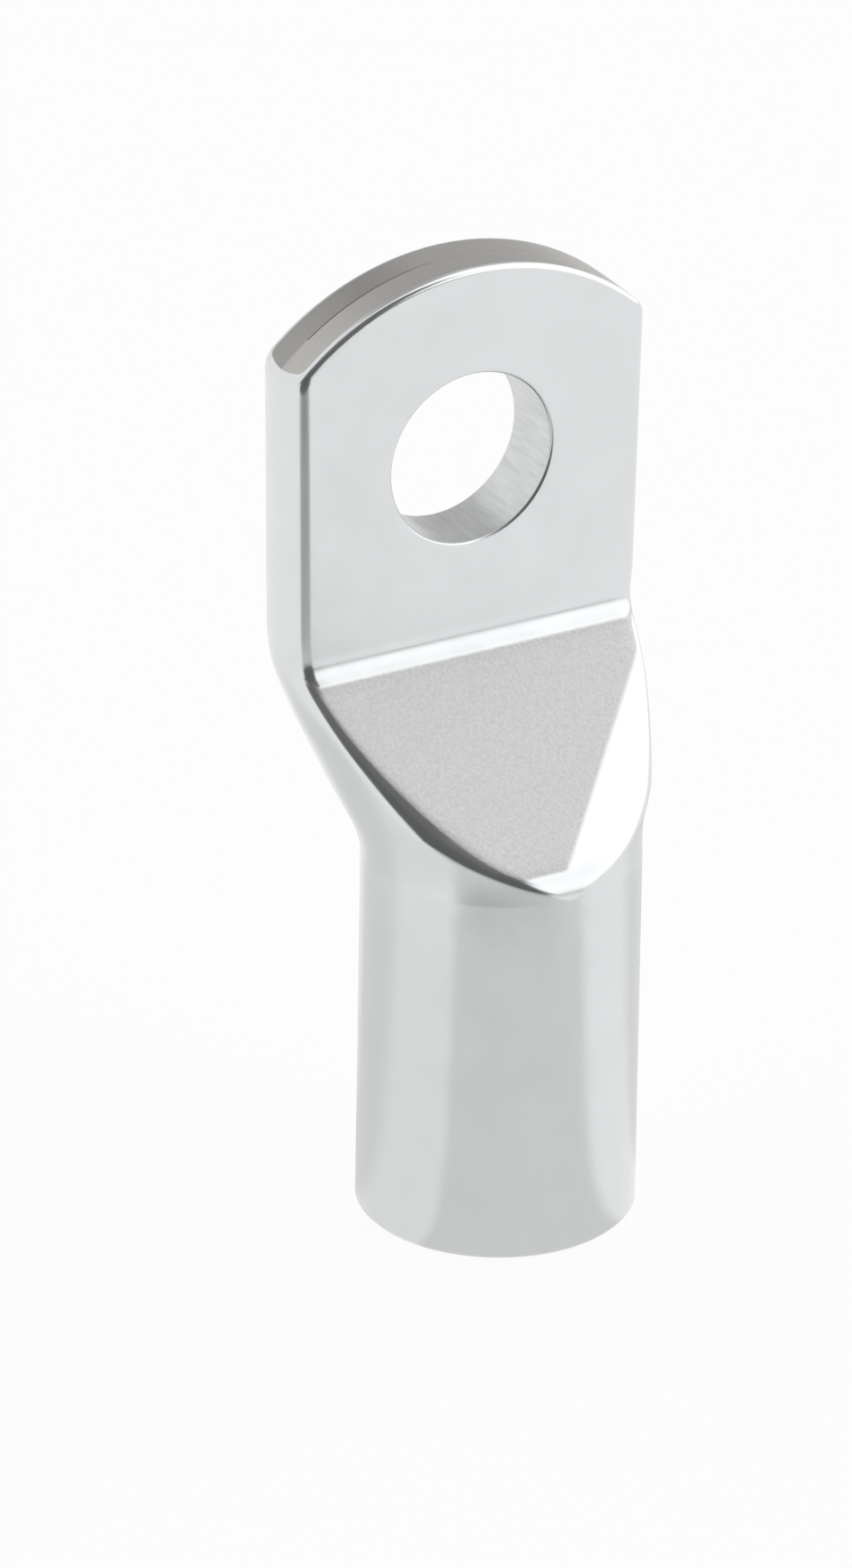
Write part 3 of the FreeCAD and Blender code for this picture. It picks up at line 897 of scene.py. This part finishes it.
@dataclass(frozen=True)
class PlatedTin:
    """Bright tin plated on drawn copper tube: a soft satin mirror, matt where the press bore.

    Faint clouds lie in the mirror and hair lines run along the tube. The press mark has a fine grain
    that stops at a slanted line, and right of that line the mark is as smooth as the plate.
    """

    tube: PressedTube
    colour: str = "#E1E3E4"
    pressed_colour: str = "#CCCDCC"
    roughness: float = 0.19
    pressed_roughness: float = 0.42
    clouds: Pattern = Pattern(2.4, 3.0)
    cloud_span: Span = (0.35, 0.65)
    cloud_change: Span = (-0.03, 0.04)
    grain: Pattern = Pattern(0.16, 2.0, 0.6)
    grain_span: Span = (0.3, 0.7)
    grain_shade: float = 0.86
    grain_depth_mm: float = 0.012
    draw_lines: Pattern = Pattern(0.35, 1.0)
    draw_squeeze: float = 0.04
    draw_depth_mm: float = 0.0008
    press_reach_mm: float = 0.03
    bright_side_x: float = -0.55
    bright_side_slope: float = 1.276
    bright_side_blend: float = 0.2

    def make(self) -> bpy.types.Material:
        """Builds the plated finish.

        Returns:
            The material.
        """
        material = bpy.data.materials.new("tin_plated_drawn_copper")
        tree = new_tree(material)
        here = add(tree, "TexCoord", {}).outputs["Object"]
        place = with_vectors(tree, "MULTIPLY", here, (1 / MM,) * 3)[0]
        pressed = self.pressed_mask(tree, place)
        grain = self.grain.lay(tree, place)
        colour = mix_colours(tree, pressed, linear(self.colour), linear(self.pressed_colour))
        shade = spread(tree, grain, self.grain_span, (self.grain_shade, 1.0), "LINEAR")
        speckle = mix_colours(tree, pressed, WHITE, shade)
        tinted = mix_colours(tree, 1.0, colour, speckle, "MULTIPLY")
        clouds = self.clouds.lay(tree, place)
        polish = tuple(self.roughness + change for change in self.cloud_change)
        cloudy = spread(tree, clouds, self.cloud_span, polish, "LINEAR")
        roughness = mix_values(tree, pressed, cloudy, self.pressed_roughness)
        along = with_vectors(tree, "MULTIPLY", place, (1.0, 1.0, self.draw_squeeze))[0]
        drawn = relief(tree, self.draw_lines.lay(tree, along), self.draw_depth_mm)
        pressed_grain = calculate(tree, "MULTIPLY", grain, pressed)
        grainy = relief(tree, pressed_grain, self.grain_depth_mm, drawn)
        finish_metal(tree, tinted, roughness, grainy)
        return material

    def pressed_mask(self, tree: Tree, place: Socket) -> Socket:
        """Share of the grainy press mark at a place: one on the plane of the inclined face.

        Args:
            tree: The material's node tree.
            place: Object coordinates in millimetres.

        Returns:
            The mask's socket.
        """
        tube = self.tube
        across = Vector((0.0, 1.0, -tube.face_slope)).normalized()
        anchor = Vector((0.0, -tube.outer_radius, tube.press_line))
        distance = with_vectors(tree, "DOT_PRODUCT", place, across)["Value"]
        offset = calculate(tree, "SUBTRACT", distance, across.dot(anchor))
        away = calculate(tree, "ABSOLUTE", offset)
        reach = self.press_reach_mm
        on_face = spread(tree, away, (reach, reach * 2), (1.0, 0.0))
        split = add(tree, "SeparateXYZ", {0: place}).outputs
        start = self.bright_side_x - self.bright_side_slope * tube.press_line
        bound = calculate(tree, "MULTIPLY_ADD", split["Z"], self.bright_side_slope, start)
        room = calculate(tree, "SUBTRACT", bound, split["X"])
        borne = spread(tree, room, (-self.bright_side_blend, self.bright_side_blend))
        below_crease = calculate(tree, "LESS_THAN", split["Z"], tube.crease)
        borne_below = calculate(tree, "MULTIPLY", borne, below_crease)
        return calculate(tree, "MULTIPLY", on_face, borne_below)


@dataclass(frozen=True)
class ShearedTin:
    """Cut copper with a smear of tin: greyer and rougher than the plate, scored through the wall.

    Towards the left the wall behind is darker than the wall in front, and both become one towards
    the middle.
    """

    tube: PressedTube
    name: str = "sheared_tinned_copper"
    colour: str = "#C6C4C1"
    bright_colour: str = "#BEBCB9"
    roughness: float = 0.42
    scores: Pattern = Pattern(0.12, 2.0)
    score_squeeze: float = 0.15
    score_depth_mm: float = 0.006
    back_tint: float = 0.72
    layer_edge_mm: float = 0.12
    layers_full_mm: float = -5.0
    layers_end_mm: float = -1.0

    def make(self) -> bpy.types.Material:
        """Builds the sheared finish.

        Returns:
            The material.
        """
        material = bpy.data.materials.new(self.name)
        tree = new_tree(material)
        here = add(tree, "TexCoord", {}).outputs["Object"]
        squeeze = (1 / MM, self.score_squeeze / MM, 1 / MM)
        scores = self.scores.lay(tree, with_vectors(tree, "MULTIPLY", here, squeeze)[0])
        colour = mix_colours(tree, scores, linear(self.colour), linear(self.bright_colour))
        split = add(tree, "SeparateXYZ", {0: here}).outputs
        middle, edge = self.tube.palm_middle, self.layer_edge_mm
        behind = spread(tree, split["Y"], ((middle - edge) * MM, (middle + edge) * MM))
        limits = (self.layers_full_mm * MM, self.layers_end_mm * MM)
        parted = spread(tree, split["X"], limits, (1.0, 0.0))
        back_layer = calculate(tree, "MULTIPLY", behind, parted)
        layered = mix_colours(tree, back_layer, colour, grey(self.back_tint), "MULTIPLY")
        scored = relief(tree, scores, self.score_depth_mm)
        finish_metal(tree, layered, self.roughness, scored)
        return material


@dataclass(frozen=True)
class SeamShade:
    """Painted shade down in the seam between the two walls: dark grey with paler blotches, going over to
    a pale grey towards the right, where the seam is smeared shut.
    """

    colour: str = "#6E6B67"
    paler_shade_colour: str = "#827F7B"
    closed_colour: str = "#B8B6B3"
    open_until_mm: float = -5.5
    closed_from_mm: float = -1.0
    blotches: Pattern = Pattern(MM, 2.0)
    roughness: float = 0.5

    def make(self) -> bpy.types.Material:
        """Builds the seam's painted shade.

        Returns:
            The material.
        """
        material = bpy.data.materials.new("seam_painted_shade")
        tree = new_tree(material)
        here = add(tree, "TexCoord", {}).outputs["Object"]
        blotches = self.blotches.lay(tree, here)
        # Painted shade: the seam's gap is coloured dark grey with paler blotches.
        blotchy_shade = mix_colours(tree, blotches, linear(self.colour), linear(self.paler_shade_colour))
        # The painted shade fades to pale grey towards the right, where the seam is smeared shut.
        across = add(tree, "SeparateXYZ", {0: here}).outputs["X"]
        closed = spread(tree, across, (self.open_until_mm * MM, self.closed_from_mm * MM))
        colour = mix_colours(tree, closed, blotchy_shade, linear(self.closed_colour))
        finish_metal(tree, colour, self.roughness)
        return material


def heading(azimuth: float, elevation: float = 0.0) -> Vector:
    """Direction that leaves the lug towards a place round it.

    Args:
        azimuth: Degrees from the front, positive round by the right.
        elevation: Degrees above the floor.

    Returns:
        The direction, one long.
    """
    turn, lift = math.radians(azimuth), math.radians(elevation)
    level = math.cos(lift)
    return Vector((math.sin(turn) * level, -math.cos(turn) * level, math.sin(lift)))


def round_mask(
    tree: Tree, way: Socket, middle: Vector, degrees: Span, full: Socket = 1.0
) -> Socket:
    """Round spot among the directions, with a soft edge.

    Args:
        tree: The node tree.
        way: The direction looked at.
        middle: The spot's middle.
        degrees: How far from the middle its edge begins and ends.
        full: What the mask is inside the edge.

    Returns:
        The mask's socket.
    """
    facing = with_vectors(tree, "DOT_PRODUCT", way, middle)["Value"]
    begins, ends = (math.cos(math.radians(angle)) for angle in degrees)
    return spread(tree, facing, (ends, begins), (0.0, full))


@dataclass(frozen=True)
class Patch:
    """Round patch of the light tent with a soft edge, by the way it lies from the lug."""

    way: Sequence[float]
    core_degrees: float
    edge_degrees: float
    level: float


@dataclass(frozen=True)
class Sector:
    """Sector of the floor round the lug with painted shade: dimmer as the lug's mirror shows it."""

    azimuth: float
    half_angle: float
    soft_angle: float
    level: float
    reach: float = 36.0
    reach_end: float = 56.0


@dataclass
class Studio:
    """Plain pale floor, soft light all round and the camera at the photograph's angle."""

    look_at: Vector
    azimuth: float = -30.55
    elevation: float = 25.80
    roll: float = 1.063
    distance: float = 833.0
    pixels_per_mm: float = 24.46
    frame_width: float = 957.0
    frame_height: float = 1762.0
    look_at_column: float = 565.1
    look_at_row: float = 844.5
    sensor_width: float = 36.0
    clip_metres: Span = (0.01, 20.0)
    floor_colour: str = "#F4F4F4"
    floor_roughness: float = 0.9
    floor_half_width: float = 2500.0
    floor_glow: float = 0.94
    tent_level: float = 0.95
    dark_azimuth: float = -25.0
    dark_elevation: float = 18.0
    screen_distance: float = 90.0
    screen_half_width: float = 72.0
    screen_height: float = 90.0
    screen_level: float = 0.13

    def camera_axes(self) -> Matrix:
        """Right, up and back directions of the camera as a rotation.

        Returns:
            The rotation whose columns are those directions.
        """
        turn = math.radians(self.azimuth)
        right = Vector((math.cos(turn), math.sin(turn), 0.0))
        back = heading(self.azimuth, self.elevation)
        level = Matrix((right, back.cross(right), back)).transposed()
        return level @ Matrix.Rotation(math.radians(self.roll), 3, "Z")

    def patches(self) -> list[Patch]:
        """Softboxes and dim places of the tent.

        Returns:
            The patches, each one laid over those before it.
        """
        dark_side = heading(self.dark_azimuth, self.dark_elevation)
        return [
            Patch((0.46, 0.78, 0.43), 20.0, 45.0, 0.58),
            Patch((0.05, 0.36, 0.93), 8.0, 24.0, 0.4),
            Patch((0.95, -0.09, 0.29), 25.0, 45.0, 1.45),
            Patch((0.46, -0.29, 0.84), 12.0, 30.0, 1.4),
            Patch(dark_side, 48.0, 60.0, 0.16),
            Patch((0.46, -0.82, 0.34), 6.0, 20.0, 1.35),
            Patch((0.7, -0.5, 0.5), 16.0, 30.0, 1.35),
        ]

    def sectors(self) -> list[Sector]:
        """Parts of the floor round the lug with painted shade.

        Returns:
            The sectors, the first of them as far out as the dark screen.
        """
        return [
            Sector(-25.0, 36.0, 9.0, 0.45, 90.0, 96.0),
            Sector(-100.0, 34.0, 8.0, 0.91),
            Sector(-13.0, 50.0, 6.0, 0.77, 40.0, 62.0),
            Sector(-146.0, 24.0, 12.0, 0.78),
            Sector(114.0, 26.0, 10.0, 0.82),
        ]

    def add_camera(self) -> None:
        """Places the camera so that the lug falls where the photograph has it."""
        data = bpy.data.cameras.new("camera")
        camera = bpy.data.objects.new("camera", data)
        axes = self.camera_axes()
        place = self.look_at + axes.col[2] * self.distance
        column = (self.frame_width / 2 - self.look_at_column) / self.pixels_per_mm
        row = (self.look_at_row - self.frame_height / 2) / self.pixels_per_mm
        aim = self.look_at + axes.col[0] * column + axes.col[1] * row
        back = (place - aim).normalized()
        right = axes.col[1].cross(back).normalized()
        turned = Matrix((right, back.cross(right), back)).transposed()
        camera.matrix_world = Matrix.Translation(place * MM) @ turned.to_4x4()
        data.sensor_width = self.sensor_width
        data.lens = data.sensor_width * self.pixels_per_mm * self.distance / self.frame_height
        data.clip_start, data.clip_end = self.clip_metres
        bpy.context.scene.collection.objects.link(camera)
        bpy.context.scene.camera = camera

    def add_sheet(self, name: str, half_sizes: Span) -> bpy.types.Object:
        """Adds a flat rectangle that belongs to the studio.

        Args:
            name: The sheet's name.
            half_sizes: Half its width and half its depth in millimetres.

        Returns:
            The sheet, flat on the floor's plane.
        """
        mesh = bmesh.new()
        bmesh.ops.create_grid(mesh, x_segments=1, y_segments=1, size=MM)
        bmesh.ops.scale(mesh, vec=Vector((*half_sizes, 1.0)), verts=mesh.verts)
        data = bpy.data.meshes.new(name)
        mesh.to_mesh(data)
        mesh.free()
        sheet = bpy.data.objects.new(name, data)
        bpy.context.scene.collection.objects.link(sheet)
        return sheet

    def mirrored_level(self, tree: Tree) -> Socket:
        """How bright the lug's mirror shows the floor at each place, with the sectors' painted shade.

        Args:
            tree: The floor's node tree.

        Returns:
            The level's socket.
        """
        here = add(tree, "TexCoord", {}).outputs["Object"]
        away = with_vectors(tree, "LENGTH", here)["Value"]
        outward = with_vectors(tree, "NORMALIZE", here)[0]
        level: Socket = 1.0
        for sector in self.sectors():
            near = spread(tree, away, (sector.reach * MM, sector.reach_end * MM), (1.0, 0.0))
            degrees = (sector.half_angle - sector.soft_angle, sector.half_angle + sector.soft_angle)
            mask = round_mask(tree, outward, heading(sector.azimuth), degrees, near)
            level = mix_values(tree, mask, level, sector.level)
        return level

    def add_floor(self) -> None:
        """Lays the pale floor under the lug, white to the camera but for a soft shadow."""
        floor = self.add_sheet("floor", (self.floor_half_width, self.floor_half_width))
        material = bpy.data.materials.new("pale_paper")
        tree = new_tree(material)
        look = {"Roughness": self.floor_roughness, "Specular IOR Level": 0.0}
        look["Base Color"] = linear(self.floor_colour)
        paper = add(tree, "BsdfPrincipled", look)
        ray = add(tree, "LightPath", {}).outputs
        seen = calculate(tree, "MAXIMUM", ray["Is Camera Ray"], ray["Is Glossy Ray"])
        share = calculate(tree, "MULTIPLY", seen, self.floor_glow)
        # Glossy rays see the floor's glow with the sectors' painted shade in it.
        strength = mix_values(tree, ray["Is Glossy Ray"], 1.0, self.mirrored_level(tree))
        glow = add(tree, "Emission", {"Color": WHITE, "Strength": strength})
        sockets = {0: share, 1: paper.outputs[0], 2: glow.outputs[0]}
        both = add(tree, "MixShader", sockets)
        add(tree, "OutputMaterial", {"Surface": both.outputs[0]})
        floor.data.materials.append(material)

    def add_screen(self) -> None:
        """Stands a dim glowing sheet on the floor before the lug as painted shade of the room's dark
        side, which only the metal's mirror shows.
        """
        screen = self.add_sheet("screen", (self.screen_half_width, self.screen_height / 2))
        turn = math.radians(self.dark_azimuth)
        upright = Matrix.Rotation(turn, 4, "Z") @ Matrix.Rotation(math.pi / 2, 4, "X")
        foot = heading(self.dark_azimuth) * self.screen_distance
        middle = foot + Vector((0.0, 0.0, self.screen_height / 2))
        screen.matrix_world = Matrix.Translation(middle * MM) @ upright
        screen.visible_camera = False
        screen.visible_diffuse = False
        screen.visible_shadow = False
        material = bpy.data.materials.new("painted_dark_sheet")
        tree = new_tree(material)
        # Painted shade: a dim grey glow, not a lamp, that the metal shows as the room's dark side.
        dark_glow = add(tree, "Emission", {"Color": grey(self.screen_level), "Strength": 1.0})
        add(tree, "OutputMaterial", {"Surface": dark_glow.outputs[0]})
        screen.data.materials.append(material)

    def add_world(self) -> None:
        """Light tent, even and pale, with its softboxes and the dark side of the room."""
        world = bpy.data.worlds.new("light_tent")
        bpy.context.scene.world = world
        tree = new_tree(world)
        way = add(tree, "TexCoord", {}).outputs["Generated"]
        level: Socket = self.tent_level
        for patch in self.patches():
            degrees = (patch.core_degrees, patch.edge_degrees)
            mask = round_mask(tree, way, Vector(patch.way).normalized(), degrees)
            level = mix_values(tree, mask, level, patch.level)
        light = add(tree, "Background", {"Color": WHITE, "Strength": level})
        add(tree, "OutputWorld", {"Surface": light.outputs[0]})

    def build(self) -> None:
        """Sets up floor, screen, light and camera."""
        self.add_floor()
        self.add_screen()
        self.add_world()
        self.add_camera()
        bpy.context.scene.view_settings.view_transform = "Standard"


def dress(piece: bpy.types.Object, tube: PressedTube) -> None:
    """Gives the shell its finishes and puts it in the CAD node's place.

    Args:
        piece: The lug's shell.
        tube: The lug's sizes.
    """
    punched = ShearedTin(
        tube,
        name="punched_tin_plate",
        colour="#C4C5C6",
        bright_colour="#E8E9EA",
        roughness=0.3,
        scores=Pattern(0.25, 2.0),
        back_tint=1.0,
    )
    makers = {
        Finish.PLATED: PlatedTin(tube),
        Finish.SHEARED: ShearedTin(tube),
        Finish.PUNCHED: punched,
        Finish.SEAM: SeamShade(),
    }
    for finish in Finish:
        piece.data.materials.append(makers[finish].make())
    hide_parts("lug")
    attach(piece, "root")
    LOG.info("%s: %d faces", piece.name, len(piece.data.polygons))


def main() -> None:
    """Builds the lug, its finishes and the studio."""
    logging.basicConfig(level=logging.INFO, format="%(message)s")
    tube = PressedTube()
    dress(LugShell(tube).build(), tube)
    Studio(Vector((0.0, 0.0, tube.tip_height / 2))).build()


if __name__ == "__main__":
    main()
